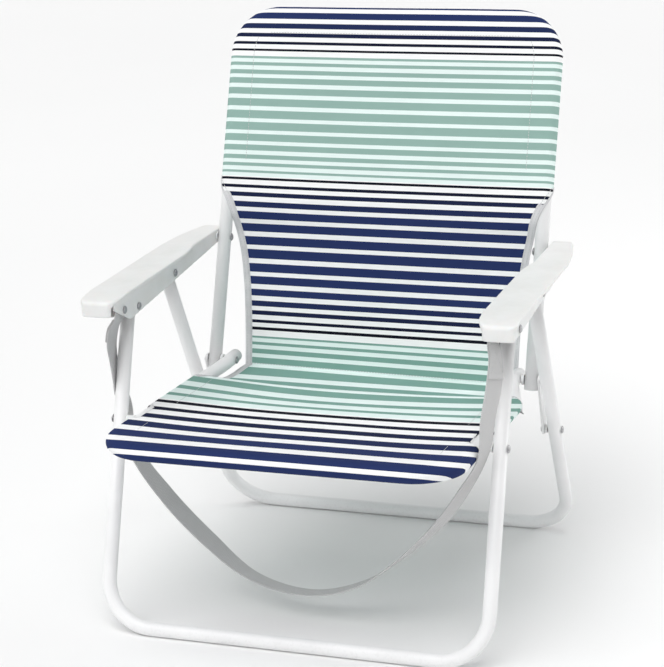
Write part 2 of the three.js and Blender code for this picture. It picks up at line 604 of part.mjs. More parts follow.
// A flat strap: a long box whose cross-sections are laid square on the route. Its width is level where
// the twist is 0, and a twist turns it about the route.
function strapAlong(route, steps) {
  const curve = new THREE.CatmullRomCurve3(
    route.map(([x, y, z]) => new THREE.Vector3(x, y, z)), false, "centripetal");
  const twistAt = (share) => {
    const place = curve.getUtoTmapping(share) * (route.length - 1);
    const before = Math.min(Math.floor(place), route.length - 2);
    return THREE.MathUtils.degToRad(THREE.MathUtils.lerp(route[before][3], route[before + 1][3], place - before));
  };
  const strap = new THREE.BoxGeometry(STRAP_THICKNESS, STRAP_WIDTH, steps, 1, 1, steps);
  const depthAxis = new THREE.Vector3(0, 1, 0);
  const place = strap.attributes.position;
  for (let i = 0; i < place.count; i++) {
    const share = (place.getZ(i) + steps / 2) / steps;
    const along = curve.getTangentAt(share);
    const level = depthAxis.clone().addScaledVector(along, -along.dot(depthAxis)).normalize();
    const across = level.applyAxisAngle(along, -twistAt(share));
    const outwards = across.clone().cross(along);
    const point = curve.getPointAt(share);
    point.addScaledVector(outwards, place.getX(i)).addScaledVector(across, place.getY(i));
    place.setXYZ(i, point.x, point.y, point.z);
  }
  return strap;
}

const STRAP_STEPS = 80;
const strapSolid = drillPivot(toSolid(strapAlong(STRAP_ROUTE, STRAP_STEPS)), STRAP_IN_ARM);
addPiece("carry_strap", toGeometry(strapSolid), GREY_WEBBING);

const strapOuterFace = STRAP_TOP_HALF_WIDTH + STRAP_THICKNESS / 2 + GAP;
addPair("strap_rivet", rivet(ARM_INNER_FLANGE, strapOuterFace, STRAP_IN_ARM), RIVET_STEEL);

chair.position.y = -DEPTH_MIDDLE;

const part = new THREE.Group();
part.add(chair);
export default part;
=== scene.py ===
"""The looks of the folding beach chair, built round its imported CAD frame.

Lengths are in millimetres in the CAD source's own coordinates, with depth measured from the front
floor bar, and world() turns them into metres in the row frame.
"""

import json
import math

import bpy
import numpy as np
from mathutils import Matrix, Vector

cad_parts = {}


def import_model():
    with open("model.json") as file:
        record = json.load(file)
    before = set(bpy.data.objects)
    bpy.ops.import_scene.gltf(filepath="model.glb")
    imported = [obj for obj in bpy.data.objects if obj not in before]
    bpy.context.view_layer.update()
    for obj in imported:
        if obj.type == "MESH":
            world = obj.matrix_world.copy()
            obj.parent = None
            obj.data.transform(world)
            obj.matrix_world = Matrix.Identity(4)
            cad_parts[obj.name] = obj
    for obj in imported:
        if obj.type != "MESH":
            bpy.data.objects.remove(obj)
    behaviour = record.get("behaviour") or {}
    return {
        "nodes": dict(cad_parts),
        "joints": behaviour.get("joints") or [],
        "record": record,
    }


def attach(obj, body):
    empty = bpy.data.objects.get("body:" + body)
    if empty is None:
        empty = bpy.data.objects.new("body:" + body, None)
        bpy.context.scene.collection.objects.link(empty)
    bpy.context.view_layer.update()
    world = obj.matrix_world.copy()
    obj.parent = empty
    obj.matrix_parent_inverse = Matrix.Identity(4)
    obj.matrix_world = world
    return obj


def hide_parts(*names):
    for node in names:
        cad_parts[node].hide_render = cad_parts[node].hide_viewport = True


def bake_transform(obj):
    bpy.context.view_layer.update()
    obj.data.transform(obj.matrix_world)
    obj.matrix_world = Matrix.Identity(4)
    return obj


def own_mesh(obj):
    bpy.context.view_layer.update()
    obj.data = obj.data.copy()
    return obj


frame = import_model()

MM = 0.001
RECORD = frame["record"]
MOUNT_Y = {mount["name"]: mount["pos_m"][1] for mount in RECORD["mounts"]}
JOINT_AT = {joint["name"]: joint["pos_m"] for joint in frame["joints"]}
FRONT_BAR_Y = MOUNT_Y["front_floor_bar"]
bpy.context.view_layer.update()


def world(points):
    """Design points in millimetres, as row-frame points in metres."""
    return np.asarray(points, float) * MM + np.array([0, FRONT_BAR_Y, 0])


def pivot(joint):
    """A joint's [depth, height] in millimetres."""
    _, y, z = JOINT_AT[joint]
    return np.array([(y - FRONT_BAR_Y) / MM, z / MM])


# ---------------------------------------------------------------- sizes

TUBE_RADIUS = 9.5
TUBE_SIDES = 40
STEPS_PER_BEND = 14
LEG_HALF_WIDTH = 261
RAIL_HALF_WIDTH = 230.5
RAIL_END_HALF_WIDTH = 211
BACK_HALF_WIDTH = 234.2
LEG_BEND = 64
SEAT_BEND = 60
BACK_BEND = 60

SEAT_HINGE = pivot("back_fold")
ARM_ON_BACK = pivot("arms_on_back")
SEAT_ON_LEG = pivot("front_legs_on_seat")
LEG_IN_ARM = pivot("rear_legs_on_arms")
LEG_TOP_IN_ARM = np.array([137.9, 412])
FLOOR_BAR_HEIGHT = TUBE_RADIUS * math.cos(math.pi / 16)
FRONT_BAR = np.array([0, FLOOR_BAR_HEIGHT])
REAR_BAR = np.array([(MOUNT_Y["rear_floor_bar"] - FRONT_BAR_Y) / MM, FLOOR_BAR_HEIGHT])

SEAT_FRONT_DEPTH = -45
SEAT_SLOPE = -0.0553
BACK_TOP_HEIGHT = 739
BACK_LEAN = (ARM_ON_BACK[0] - SEAT_HINGE[0]) / (ARM_ON_BACK[1] - SEAT_HINGE[1])


def rail_height(depth):
    return SEAT_ON_LEG[1] + SEAT_SLOPE * (depth - SEAT_ON_LEG[0])


# ---------------------------------------------------------------- meshes


def link_to_scene(obj):
    bpy.context.scene.collection.objects.link(obj)
    return obj


def new_object(name, vertices, faces):
    """A smooth-shaded mesh object from design points in millimetres."""
    mesh = bpy.data.meshes.new(name)
    mesh.from_pydata([tuple(v) for v in world(vertices)], [], [tuple(f) for f in faces])
    mesh.validate()
    for polygon in mesh.polygons:
        polygon.use_smooth = True
    return link_to_scene(bpy.data.objects.new(name, mesh))


def apply_modifiers(obj):
    bpy.context.view_layer.update()
    depsgraph = bpy.context.evaluated_depsgraph_get()
    mesh = bpy.data.meshes.new_from_object(obj.evaluated_get(depsgraph))
    obj.modifiers.clear()
    obj.data = mesh


def unit(vectors):
    vectors = np.asarray(vectors, float)
    return vectors / np.linalg.norm(vectors, axis=-1, keepdims=True)


def travel(points):
    """How far along a line each of its points is."""
    steps = np.linalg.norm(np.diff(np.asarray(points), axis=0), axis=1)
    return np.concatenate([[0], np.cumsum(steps)])


def hermite(t, width, start, end, start_slope, end_slope):
    """A smooth curve from start to end over a width, at the share t of it."""
    return (
        (1 + 2 * t) * (1 - t) ** 2 * start
        + t * (1 - t) ** 2 * width * start_slope
        + t * t * (3 - 2 * t) * end
        + t * t * (t - 1) * width * end_slope
    )


def bent_path(corners, bend_radius):
    """Straight runs joined by bends of one radius: points and directions of travel."""
    corners = np.asarray(corners, float)
    points = [corners[0]]
    directions = [unit(corners[1] - corners[0])]
    for before, corner, after in zip(corners, corners[1:], corners[2:]):
        inward = unit(corner - before)
        outward = unit(after - corner)
        turn = math.acos(np.clip(inward @ outward, -1, 1))
        centre_side = unit(outward - inward * math.cos(turn))
        start = corner - inward * bend_radius * math.tan(turn / 2)
        count = max(4, round(STEPS_PER_BEND * turn / (math.pi / 2)))
        for angle in np.linspace(0, turn, count + 1):
            along = inward * bend_radius * math.sin(angle)
            aside = centre_side * bend_radius * (1 - math.cos(angle))
            points.append(start + along + aside)
            directions.append(inward * math.cos(angle) + centre_side * math.sin(angle))
    points.append(corners[-1])
    directions.append(unit(corners[-1] - corners[-2]))
    return np.array(points), np.array(directions)


def loft_faces(rings, count, base=0, inside_out=False):
    """Faces that join rings of count vertices into a closed form, with its two ends last."""
    faces = []
    for ring in range(rings - 1):
        for k in range(count):
            low, step = base + ring * count, (k + 1) % count
            faces.append((low + k, low + step, low + count + step, low + count + k))
    end = base + (rings - 1) * count
    faces.append(tuple(base + k for k in reversed(range(count))))
    faces.append(tuple(end + k for k in range(count)))
    if inside_out:
        faces = [face[:1] + face[:0:-1] for face in faces]
    return faces


def sweep(points, directions, across, section):
    """Vertices and faces of a closed section carried along a path, with its first axis toward across."""
    vertices = []
    for point, along, side in zip(points, directions, np.broadcast_to(across, points.shape)):
        first = unit(side - along * (side @ along))
        second = np.cross(along, first)
        for a, b in section:
            vertices.append(point + first * a + second * b)
    return vertices, loft_faces(len(points), len(section))


def circle(radius, sides):
    return [
        (radius * math.cos(a), radius * math.sin(a))
        for a in np.linspace(0, 2 * math.pi, sides, endpoint=False)
    ]


# ---------------------------------------------------------------- materials


class Shader:
    """A Principled material with short helpers for its nodes."""

    def __init__(self, name, color, roughness, metallic=0.0):
        self.material = bpy.data.materials.new(name)
        self.material.use_nodes = True
        self.tree = self.material.node_tree
        self.surface = self.tree.nodes["Principled BSDF"]
        self.set("Base Color", (*color, 1))
        self.set("Roughness", roughness)
        self.set("Metallic", metallic)

    def set(self, socket, value):
        self.surface.inputs[socket].default_value = value

    def link(self, output, target):
        self.tree.links.new(output, target)

    def node(self, kind, inputs=None, **settings):
        """A node with its settings and inputs, each input a number, a colour or another node's output."""
        node = self.tree.nodes.new(kind)
        for key, value in settings.items():
            setattr(node, key, value)
        for socket, value in (inputs or {}).items():
            if isinstance(value, bpy.types.NodeSocket):
                self.link(value, node.inputs[socket])
            else:
                node.inputs[socket].default_value = (*value, 1) if isinstance(value, tuple) else value
        return node

    def math(self, operation, a, b=0.0, clamp=False):
        return self.node("ShaderNodeMath", {0: a, 1: b}, operation=operation, use_clamp=clamp).outputs[0]

    def noise(self, scale, detail=2.0, roughness=0.5):
        inputs = {"Scale": scale, "Detail": detail, "Roughness": roughness, "Vector": self.place()}
        return self.node("ShaderNodeTexNoise", inputs).outputs["Fac"]

    def place(self):
        """Where a point is on the object at rest."""
        return self.node("ShaderNodeTexCoord").outputs["Object"]

    def spread(self, value, low, high):
        """A noise's usual range, 0.3 to 0.7, stretched onto low..high."""
        inputs = {"Value": value, "From Min": 0.3, "From Max": 0.7, "To Min": low, "To Max": high}
        return self.node("ShaderNodeMapRange", inputs).outputs["Result"]

    def mix(self, factor, a, b, blend="MIX"):
        inputs = {"Factor": factor, 6: a, 7: b}
        return self.node("ShaderNodeMix", inputs, data_type="RGBA", blend_type=blend).outputs[2]

    def tint(self, color):
        self.link(color, self.surface.inputs["Base Color"])

    def mottle(self, pattern, light, dark):
        """A base colour that varies from light to dark with a noise pattern."""
        self.tint(self.mix(self.spread(pattern, 0, 1), light, dark))

    def roughen(self, pattern, low, high):
        """A roughness that varies with a noise pattern."""
        self.link(self.spread(pattern, low, high), self.surface.inputs["Roughness"])

    def bump(self, height, distance):
        """Adds a bump of that height in metres, on top of any before it."""
        node = self.node("ShaderNodeBump", {"Strength": 1.0, "Distance": distance, "Height": height})
        before = self.surface.inputs["Normal"].links
        if before:
            self.link(before[0].from_socket, node.inputs["Normal"])
        self.link(node.outputs[0], self.surface.inputs["Normal"])


SCUFF = (0.42, 0.41, 0.40)
SCUFF_HEIGHT = 30
SCUFF_STRENGTH = 0.1


def powder_coat():
    """White powder coat: fine orange peel, faint soiling, and scuffs near the ground."""
    shader = Shader("powder_coat", (0.8, 0.8, 0.8), 0.38)
    soil = shader.noise(14, 5)
    clean = shader.mix(shader.spread(soil, 0, 1), (0.88, 0.882, 0.885), (0.82, 0.822, 0.826))
    split = shader.node("ShaderNodeSeparateXYZ", {0: shader.place()})
    height_share = shader.math("DIVIDE", split.outputs["Z"], SCUFF_HEIGHT * MM)
    near_ground = shader.math("SUBTRACT", 1.0, height_share, clamp=True)
    grit = shader.math("GREATER_THAN", shader.noise(260, 4), 0.58)
    scuff = shader.math("MULTIPLY", grit, shader.math("MULTIPLY", near_ground, SCUFF_STRENGTH))
    shader.tint(shader.mix(scuff, clean, SCUFF))
    shader.roughen(shader.noise(60, 3), 0.30, 0.46)
    shader.bump(shader.noise(900, 2), 0.00006)
    shader.set("Coat Weight", 0.15)
    shader.set("Coat Roughness", 0.25)
    return shader.material


def moulded_plastic():
    """White moulded plastic with a fine grain and slight handling marks."""
    shader = Shader("moulded_plastic", (0.85, 0.85, 0.845), 0.5)
    marks = shader.noise(22, 6, roughness=0.6)
    shader.mottle(marks, (0.80, 0.80, 0.795), (0.74, 0.74, 0.73))
    shader.roughen(marks, 0.42, 0.58)
    shader.bump(shader.noise(1800, 2), 0.00005)
    shader.set("Subsurface Weight", 0.05)
    return shader.material


def rivet_steel():
    """Zinc-plated steel, slightly mottled and dulled."""
    shader = Shader("rivet_steel", (0.5, 0.5, 0.51), 0.35, metallic=0.9)
    mottle = shader.noise(420, 4)
    shader.mottle(mottle, (0.52, 0.52, 0.53), (0.30, 0.30, 0.31))
    shader.roughen(mottle, 0.28, 0.5)
    shader.bump(shader.noise(1500, 2), 0.00004)
    return shader.material


def cloth_plane(shader):
    """Distances across and along a cloth, in metres, from its UV map."""
    cloth_map = shader.node("ShaderNodeUVMap", uv_map="cloth").outputs[0]
    split = shader.node("ShaderNodeSeparateXYZ", {0: cloth_map})
    return split.outputs["X"], split.outputs["Y"]


def weave(shader, across, along, pitch, depth):
    """A plain weave: threads pass over and under each other in both directions."""
    warp = shader.math("SINE", shader.math("MULTIPLY", across, math.pi / pitch))
    weft = shader.math("SINE", shader.math("MULTIPLY", along, math.pi / pitch))
    over = shader.math("ABSOLUTE", shader.math("MULTIPLY", warp, weft))
    shader.bump(over, depth)
    return over


def stripe_ramp(shader, along, start, stripes, gap_color):
    """A colour ramp over one band of stripes, given as (width, gap after, colour) in millimetres."""
    length = sum(width + gap for width, gap, _ in stripes)
    share = shader.math("DIVIDE", shader.math("SUBTRACT", along, start), length, clamp=True)
    node = shader.node("ShaderNodeValToRGB", {0: share})
    ramp = node.color_ramp
    ramp.interpolation = "CONSTANT"
    ramp.elements[0].color = (1, 1, 1, 1)
    ramp.elements[1].position = 1
    ramp.elements[1].color = (1, 1, 1, 1)
    at = 0
    for width, gap, color in stripes:
        dark = ramp.elements.new(max(at / length, 1e-4))
        dark.color = (*color, 1)
        light = ramp.elements.new((at + width) / length)
        light.color = (*gap_color, 1)
        at += width + gap
    return node.outputs[0]


NAVY = (0.021, 0.036, 0.125)
NEAR_BLACK = (0.005, 0.006, 0.012)
MINT = (0.31, 0.47, 0.42)
# A darker copy of MINT for the lower mint band: painted shade where the sling bends into the seat, not a
# second ink.
SHADED_MINT = (0.22, 0.40, 0.345)
PALE_MINT = (0.86, 0.98, 0.95)
WHITE = (1.0, 1.0, 1.0)

NAVY_GAP = 6.7
MINT_GAP = 5.8
LOWER_MINT_GAP = 6.1
NAVY_STRIPES = 15
EDGE_NAVY_STRIPES = 9  # how many of a navy band the top edge cuts off, and how many the front band has

# Where the bands are, by distance along the print from its zero just above the top bar.
TOP_NAVY_END = 65.6
UPPER_MINT_START = 72.4
UPPER_NAVY_START = 249.0
LOWER_MINT_START = 481.0
FRONT_NAVY_START = 593.2


def swell(count, narrow, wide, gap, thin_color, thick_color):
    """A band whose stripes widen to its middle and narrow again."""
    stripes = []
    for index in range(count):
        fullness = math.sin(math.pi * (index + 0.5) / count) ** 2
        depth = min(1, 1.6 * fullness)
        color = tuple(np.array(thin_color) + (np.array(thick_color) - thin_color) * depth)
        stripes.append((narrow + (wide - narrow) * fullness, gap, color))
    return stripes


def print_bands():
    """(start, stripes, gap colour) of each band along the print."""
    navy = swell(NAVY_STRIPES, 4.0, 13.2, NAVY_GAP, NEAR_BLACK, NAVY)
    upper_mint = swell(13, 3.7, 11.8, MINT_GAP, MINT, MINT)
    # The lower mint band's stripes carry the painted shade of the bend.
    lower_mint = swell(9, 3.0, 9.6, LOWER_MINT_GAP, SHADED_MINT, SHADED_MINT)
    top = swell(NAVY_STRIPES, 3.2, 12.6, NAVY_GAP, NEAR_BLACK, NAVY)[EDGE_NAVY_STRIPES:]
    top_start = TOP_NAVY_END + NAVY_GAP - sum(width + gap for width, gap, _ in top)
    return [
        (top_start, top, WHITE),
        (UPPER_MINT_START, upper_mint, PALE_MINT),
        (UPPER_NAVY_START, navy, WHITE),
        (LOWER_MINT_START, lower_mint, PALE_MINT),
        (FRONT_NAVY_START, navy[:EDGE_NAVY_STRIPES], WHITE),
    ]


def sling_cloth():
    """Printed woven polyester: stripes that swell and fade, a plain weave with painted shade in its
    hollows, a lower mint band printed in a shaded mint, and faint unevenness.
    """
    shader = Shader("sling_cloth", (0.9, 0.9, 0.9), 0.9)
    place = shader.node("ShaderNodeAttribute", attribute_name="print").outputs["Fac"]
    printed = shader.math("DIVIDE", place, MM)
    color = None
    for start, stripes, gap_color in print_bands():
        band = stripe_ramp(shader, printed, start, stripes, gap_color)
        color = band if color is None else shader.mix(1.0, color, band, "MULTIPLY")
    across, along = cloth_plane(shader)
    threads = weave(shader, across, along, 0.0009, 0.00012)
    uneven = shader.noise(9, 4)
    tone = shader.mix(shader.spread(uneven, 0, 1), (0.97, 0.975, 0.98), (0.92, 0.925, 0.93))
    lit = shader.mix(1.0, color, tone, "MULTIPLY")
    # Painted shade in the weave: the cloth is darkened where the threads dip between their crossings.
    weave_hollow_shade = shader.mix(threads, (0.93, 0.93, 0.93), (1, 1, 1))
    shader.tint(shader.mix(1.0, lit, weave_hollow_shade, "MULTIPLY"))
    shader.bump(shader.noise(160, 3), 0.0002)
    shader.set("Specular IOR Level", 0.12)
    return shader.material


def binding_tape():
    """Pale grey ribbed tape, slightly soiled."""
    shader = Shader("binding_tape", (0.78, 0.79, 0.80), 0.75)
    _, along = cloth_plane(shader)
    ribs = shader.math("SINE", shader.math("MULTIPLY", along, 2 * math.pi / 0.0016))
    shader.bump(ribs, 0.00012)
    soil = shader.noise(40, 5)
    shader.mottle(soil, (0.70, 0.70, 0.71), (0.57, 0.57, 0.59))
    return shader.material


def grey_webbing():
    """Grey webbing in a chevron weave, with painted shade between its ribs."""
    shader = Shader("grey_webbing", (0.3, 0.3, 0.3), 0.7)
    across, along = cloth_plane(shader)
    fold = shader.math("PINGPONG", across, 0.0045)
    slant = shader.math("ADD", along, fold)
    ribs = shader.math("SINE", shader.math("MULTIPLY", slant, 2 * math.pi / 0.0022))
    ribs = shader.math("MULTIPLY_ADD", ribs, 0.5)
    ribs.node.inputs[2].default_value = 0.5
    shader.bump(ribs, 0.00035)
    fine = shader.noise(700, 2)
    # Painted shade: the webbing is darkened in the grooves between its ribs, with a fine noise on top.
    shade = shader.math("MULTIPLY", ribs, shader.spread(fine, 0.75, 1.0))
    shader.tint(shader.mix(shade, (0.37, 0.37, 0.373), (0.82, 0.82, 0.82)))
    shader.set("Sheen Weight", 0.15)
    return shader.material


def sewing_thread():
    """Twisted white polyester thread."""
    shader = Shader("sewing_thread", (0.8, 0.8, 0.81), 0.6)
    twist = shader.noise(2600, 2)
    shader.mottle(twist, (0.62, 0.64, 0.64), (0.45, 0.47, 0.47))
    shader.bump(twist, 0.0001)
    return shader.material


PAINT = powder_coat()
PLASTIC = moulded_plastic()
STEEL = rivet_steel()
CLOTH = sling_cloth()
TAPE = binding_tape()
WEBBING = grey_webbing()
THREAD = sewing_thread()


def finish_piece(obj, material, body=None, replaces=()):
    obj.data.materials.clear()
    obj.data.materials.append(material)
    if body:
        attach(obj, body)
    if replaces:
        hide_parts(*replaces)
    return obj


# ---------------------------------------------------------------- tubes


def tube(name, points, directions, across, body, node):
    vertices, faces = sweep(points, directions, across, circle(TUBE_RADIUS, TUBE_SIDES))
    obj = new_object(name, vertices, faces)
    obj.data.polygons[-1].use_smooth = False
    obj.data.polygons[-2].use_smooth = False
    return finish_piece(obj, PAINT, body, [node])


def leg_tube(name, bar, top_pivot, past_pivot, body, node):
    up = unit([0, top_pivot[0] - bar[0], top_pivot[1] - bar[1]])
    top = np.array([0, *top_pivot]) + up * past_pivot
    side = np.array([LEG_HALF_WIDTH, 0, 0])
    foot = np.array([0, *bar])
    corners = [top + side, foot + side, foot - side, top - side]
    points, directions = bent_path(corners, LEG_BEND)
    return tube(name, points, directions, np.cross(up, [1, 0, 0]), body, node)


def rail_points():
    """The seat frame's path, from the left rail's end round the front to the right rail's end."""
    step_start, step_end, past_hinge = 285, 342, 21

    def on_rail(depth):
        return np.array([RAIL_HALF_WIDTH, depth, rail_height(depth)])

    end = [RAIL_END_HALF_WIDTH, SEAT_HINGE[0] + past_hinge, SEAT_HINGE[1]]
    step = [RAIL_END_HALF_WIDTH, step_end, SEAT_HINGE[1]]
    before_corner = on_rail(SEAT_FRONT_DEPTH + SEAT_BEND + 1)
    middle = on_rail(SEAT_FRONT_DEPTH) * [0, 1, 1]
    stepped, stepped_way = bent_path([end, step, on_rail(step_start), before_corner], 40)
    corner, corner_way = bent_path([before_corner, on_rail(SEAT_FRONT_DEPTH), middle], SEAT_BEND)
    half = np.vstack([stepped[:-1], corner[1:-1]])
    way = np.vstack([stepped_way[:-1], corner_way[1:-1]])
    points = np.vstack([half, half[::-1] * [-1, 1, 1]])
    directions = np.vstack([way, way[::-1] * [1, -1, -1]])
    return points, directions


def back_points():
    past_hinge = 12.5
    up = unit([0, BACK_LEAN, 1])
    low = np.array([0, *SEAT_HINGE]) - up * past_hinge
    top = np.array([0, SEAT_HINGE[0] + BACK_LEAN * (BACK_TOP_HEIGHT - SEAT_HINGE[1]), BACK_TOP_HEIGHT])
    side = np.array([BACK_HALF_WIDTH, 0, 0])
    return bent_path([low + side, top + side, top - side, low - side], BACK_BEND)


def frame_tubes():
    leg_tube("front_leg_tube", FRONT_BAR, LEG_TOP_IN_ARM, 12, "front_legs", "front_leg_frame")
    leg_tube("rear_leg_tube", REAR_BAR, LEG_IN_ARM, 8.5, "rear_legs", "rear_leg_frame")
    tube("seat_tube", *rail_points(), np.array([0, 0, 1.0]), "seat", "seat_frame")
    tube("back_tube", *back_points(), np.array([0, 1.0, -BACK_LEAN]), "back", "back_frame")


frame_tubes()


# ---------------------------------------------------------------- arms


ARM_VOXEL = 1.3
ARM_SMOOTH_ROUNDS = 6
ARM_FACES_KEPT = 0.3


def soft_copy(node, name):
    """A copy of a CAD solid with its edges rounded, as moulded plastic has them."""
    obj = link_to_scene(bpy.data.objects.new(name, frame["nodes"][node].data.copy()))
    remesh = obj.modifiers.new("remesh", "REMESH")
    remesh.mode = "VOXEL"
    remesh.voxel_size = ARM_VOXEL * MM
    remesh.use_smooth_shade = True
    relax = obj.modifiers.new("relax", "SMOOTH")
    relax.factor = 0.5
    relax.iterations = ARM_SMOOTH_ROUNDS
    thin = obj.modifiers.new("thin", "DECIMATE")
    thin.ratio = ARM_FACES_KEPT
    apply_modifiers(obj)
    for polygon in obj.data.polygons:
        polygon.use_smooth = True
    return obj


for side in ("left", "right"):
    arm = soft_copy(f"arm_{side}", f"moulded_arm_{side}")
    finish_piece(arm, PLASTIC, "arms", [f"arm_{side}"])


# ---------------------------------------------------------------- sling

CLOTH_OFF_TUBE = TUBE_RADIUS + 1.3  # the sling's middle surface, from a tube's axis
SLEEVE_RETURN = 31  # how far inboard of a tube's axis its sleeve is sewn
QUARTER_WRAP = math.pi * CLOTH_OFF_TUBE / 2
SLEEVE_WRAP = 2 * QUARTER_WRAP + SLEEVE_RETURN
SLEEVE_STEPS = 22
SLEEVE_RISE = (0.1, 1.15)  # the shares of the return between which the sleeve rises to the panel
SLEEVE_MEETS = 0.93  # how much of the way from behind the tube to its front the sleeve rises
LEAST_WRAP = 0.5  # a row with less sleeve than this has none
COLUMNS = 56
MIDDLE = COLUMNS // 2
CREASE = np.array([403.0, 246.0])
CREASE_TILT = -0.012
TILT_RUN = 60  # how far from the crease the tilt starts
CREASE_PRINT = 525.3  # how far along the print the crease lies

BACK_UP = unit([0, BACK_LEAN, 1])
BACK_FRONT = np.array([0, -BACK_UP[2], BACK_UP[1]])
BACK_TOP = (BACK_TOP_HEIGHT - SEAT_HINGE[1]) / BACK_UP[2]
HINGE_3D = np.array([0, *SEAT_HINGE])
FORWARD = np.array([0, -1.0, 0])
SEAT_UP = unit([0, -SEAT_SLOPE, 1])
CREASE_FROM_HINGE = np.array([0, *CREASE]) - HINGE_3D
CREASE_UP = float(CREASE_FROM_HINGE @ BACK_UP)
CREASE_FRONT = float(CREASE_FROM_HINGE @ BACK_FRONT)

BACK_FREE_TOP = 235  # distances up the uprights from the hinge
BACK_SLEEVE_SIDE = 262  # where the slanting cut in the sleeve passes the upright's outer side
BACK_SLEEVE_START = 282
BACK_FREE_MIDDLE = 2.0  # in front of the uprights' plane, where the free edges start
WAIST = 203.0
# Below the sleeves: [up the back, half width, in front of the uprights' plane at the edge, at the middle].
BACK_FREE_EDGE = np.array([
    [BACK_FREE_TOP, BACK_HALF_WIDTH, CLOTH_OFF_TUBE, BACK_FREE_MIDDLE],
    [224, 229.0, 9.0, -0.5],
    [212, 225.0, 5.0, -3.5],
    [198, 221.5, -4.0, -7.5],
    [172, 215.2, -13.5, -15.0],
    [120, 208.0, -24.5, -27.0],
    [76, 205.0, -32.0, -35.5],
    [30, 203.5, -39.5, -42.0],
    [CREASE_UP, WAIST, CREASE_FRONT, CREASE_FRONT],
])

SEAT_SLEEVE_END = 272
SEAT_FREE_START = 285
SEAT_FREE_MIDDLE = 260.2  # the cloth's height there, midway across
# Behind the seat sleeves: [depth, half width, height at the edge, and at the middle].
SEAT_FREE_EDGE = np.array([
    [CREASE[0], WAIST, CREASE[1], CREASE[1]],
    [380, 203.2, 248.4, 247.8],
    [355, 204.6, 249.8, 249.4],
    [335, 206.8, 251.0, 250.8],
    [318, 209.8, 253.0, 252.3],
    [305, 213.5, 257.0, 255.0],
    [295, 217.8, 262.8, 257.4],
    [290, 222.5, 266.3, 258.8],
    [SEAT_FREE_START, RAIL_HALF_WIDTH, rail_height(SEAT_FREE_START) + CLOTH_OFF_TUBE, SEAT_FREE_MIDDLE],
])
NOTCH = (64.0, 128.0)  # depths between which the seat sleeves are cut away round the leg pivots
NOTCH_RAMP = 9
NOTCH_HALF_WIDTH = 224.5
NOTCH_DROP = 1.0
SEAT_SAG = 5.0
SEAT_SAG_RUN = 120  # from the front bar to the full sag
SEAT_SAG_END = 150  # the depth from which the sag gives way to the free part's shape
BACK_SAG = 5.0
BACK_SAG_RUN = 110
BACK_SAG_END = BACK_FREE_TOP + 60  # the height below which the sag gives way to the free part's shape
BACK_RIPPLE = 0.9
SEAT_RIPPLE = 0.7


def ease(value, low, high):
    """A smooth step from 0 at low to 1 at high."""
    share = np.clip((value - low) / (high - low), 0, 1)
    return share * share * (3 - 2 * share)


def between(value, start, full, full_end, end):
    """A smooth rise from 0 to 1 and back to 0."""
    return ease(value, start, full) * ease(value, end, full_end)


def smooth_through(table, at):
    """A smooth curve through a table's rows, by its first column: the values of the others."""
    order = np.argsort(table[:, 0])
    x, y = table[order, 0], table[order, 1:]
    slopes = np.gradient(y, x, axis=0)
    at = np.clip(at, x[0], x[-1])
    k = int(np.clip(np.searchsorted(x, at) - 1, 0, len(x) - 2))
    width = x[k + 1] - x[k]
    return hermite((at - x[k]) / width, width, y[k], y[k + 1], slopes[k], slopes[k + 1])


def corner_half_width(straight_half, bend, below_top):
    """Half width of a rounded corner's centre line, below_top under its top."""
    if below_top >= bend:
        return straight_half
    return straight_half - bend + math.sqrt(max(bend * bend - (bend - below_top) ** 2, 0))


def outward(bend, below_top):
    """Which way is outward at a corner's centre line: (across, along)."""
    if below_top >= bend:
        return 1.0, 0.0
    along = (bend - below_top) / bend
    return math.sqrt(max(1 - along * along, 0)), along


class Row:
    """One line of the sling across the chair, with the sleeves at its two ends."""

    def __init__(self, points, wrap, out, front, along):
        self.points = points
        self.wrap = wrap  # the length of sleeve beyond the tube's front or top
        self.out = out  # outward at the tube, as (across, along)
        self.front = front  # the way the panel faces
        self.along = along
        self.printed = 0.0  # its place on the print

    def tip(self, side):
        """The row's end on one side: the tube's centre there, and the way outward."""
        point = self.points[-1] if side > 0 else self.points[0]
        out = unit(np.array([side * self.out[0], 0, 0]) + self.along * self.out[1])
        return point - self.front * CLOTH_OFF_TUBE, out


def back_row(up):
    below_top = BACK_TOP - up
    if up >= BACK_FREE_TOP:
        half = corner_half_width(BACK_HALF_WIDTH, BACK_BEND, below_top)
        edge = CLOTH_OFF_TUBE
        loose = ease(below_top, 0, BACK_SAG_RUN)
        lower = ease(up, BACK_SAG_END, BACK_FREE_TOP)
        middle = CLOTH_OFF_TUBE - BACK_SAG * loose
        middle -= (CLOTH_OFF_TUBE - BACK_SAG - BACK_FREE_MIDDLE) * lower
    else:
        half, edge, middle = smooth_through(BACK_FREE_EDGE, up)
    tilt = CREASE_TILT * ease(up, TILT_RUN, CREASE_UP)
    points = []
    for share in np.linspace(-1, 1, COLUMNS + 1):
        front = edge + (middle - edge) * (1 - share**2)
        front += BACK_RIPPLE * ripple(share * half, up) * (1 - share**6)
        x = share * half
        points.append(HINGE_3D + [x, 0, 0] + BACK_UP * (up + tilt * x) + BACK_FRONT * front)
    wrap = QUARTER_WRAP * np.clip((up - BACK_FREE_TOP) / (BACK_SLEEVE_SIDE - BACK_FREE_TOP), 0, 1)
    wrap += (SLEEVE_WRAP - QUARTER_WRAP) * ease(up, BACK_SLEEVE_SIDE, BACK_SLEEVE_START)
    return Row(np.array(points), wrap, outward(BACK_BEND, below_top), BACK_FRONT, BACK_UP)


def ripple(x, y):
    """Slight unevenness of cloth under tension, from -1 to 1."""
    across = math.sin(x / 47 + 1.3 * math.sin(y / 83))
    along = math.sin(y / 61 + 0.8 * math.sin(x / 59 + 2))
    return 0.5 * across + 0.5 * along


